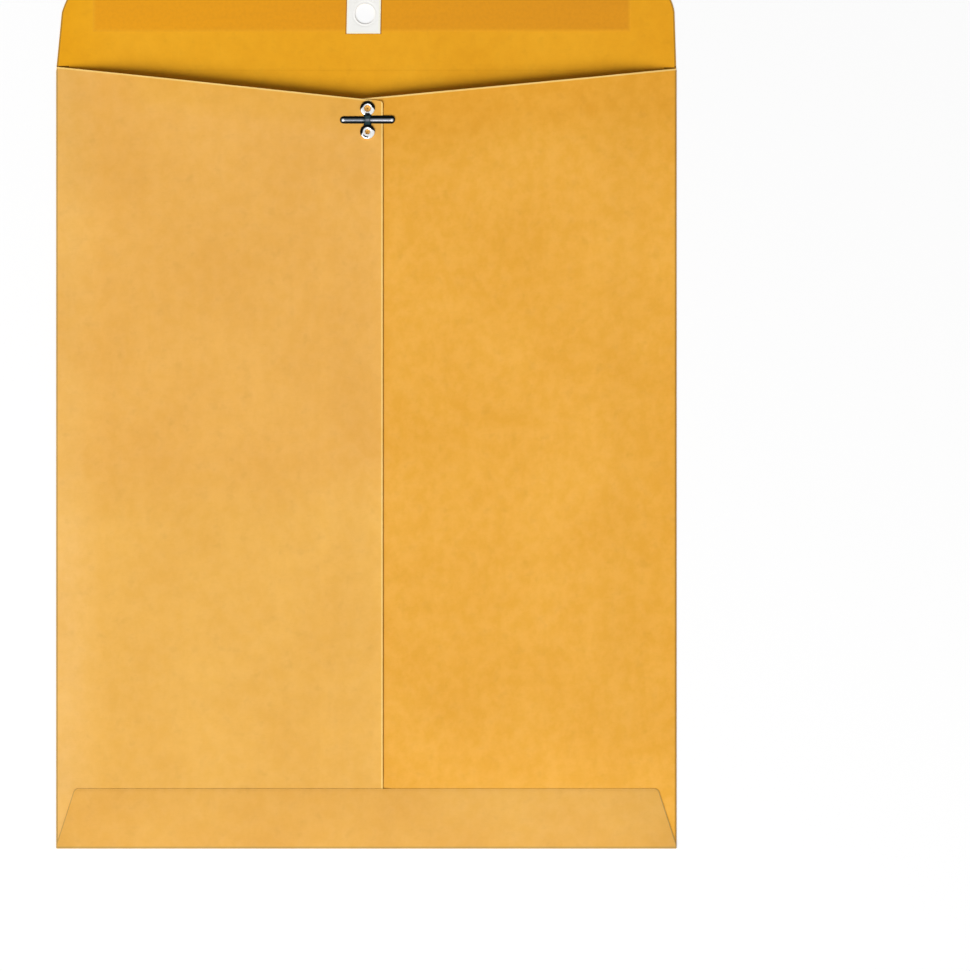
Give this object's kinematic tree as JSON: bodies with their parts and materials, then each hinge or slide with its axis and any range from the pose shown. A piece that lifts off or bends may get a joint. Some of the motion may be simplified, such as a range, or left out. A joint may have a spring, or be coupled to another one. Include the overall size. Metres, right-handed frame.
{
  "type": "clasp envelope",
  "caption": "Large kraft paper clasp envelope with an open gummed flap, a reinforced clasp hole and a two-prong metal clasp on its back.",
  "frame": {"origin": "middle of the front panel's outer face, which is the face that the envelope lies on", "axes": "+X across the width, to the right when looking at the back, +Y from the bottom fold to the closing flap, +Z out of the back, up off the table"},
  "size_m": [0.2922, 0.4083, 0.0063],
  "materials": {
    "kraft_outside": "matt kraft paper, outer side",
    "kraft_inside": "matt kraft paper, deeper yellow inner side",
    "dried_gum": "thin dried gum film",
    "flap_gum": "thin satin gum film over kraft paper",
    "patch_paper": "smooth off-white reinforcing paper",
    "tinned_steel": "bright tinned sheet steel"
  },
  "bodies": {
    "envelope_body": {"front_panel": "kraft_outside", "left_back_panel": "kraft_outside", "right_back_panel": "kraft_outside", "seam_gum": "dried_gum", "bottom_flap": "kraft_outside", "bottom_flap_gum": "dried_gum", "clasp_base": "tinned_steel"},
    "flap": {"closure_flap": "kraft_inside", "flap_gum_strip": "flap_gum", "hole_patch": "patch_paper"},
    "prong_left": {"clasp_prong_left": "tinned_steel"},
    "prong_right": {"clasp_prong_right": "tinned_steel"}
  },
  "joints": [
    {"name": "flap_fold", "type": "hinge", "parent": "envelope_body", "child": "flap", "pos_m": [0, 0.18415, 0.0036], "axis": [1, 0, 0], "range_deg": [0, 180]},
    {"name": "prong_left_bend", "type": "hinge", "parent": "envelope_body", "child": "prong_left", "pos_m": [-0.00105, 0.15885, 0.00567], "axis": [0, 1, 0], "range_deg": [0, 90]},
    {"name": "prong_right_bend", "type": "hinge", "parent": "envelope_body", "child": "prong_right", "pos_m": [0.00225, 0.15885, 0.00567], "axis": [0, -1, 0], "range_deg": [0, 90]}
  ]
}
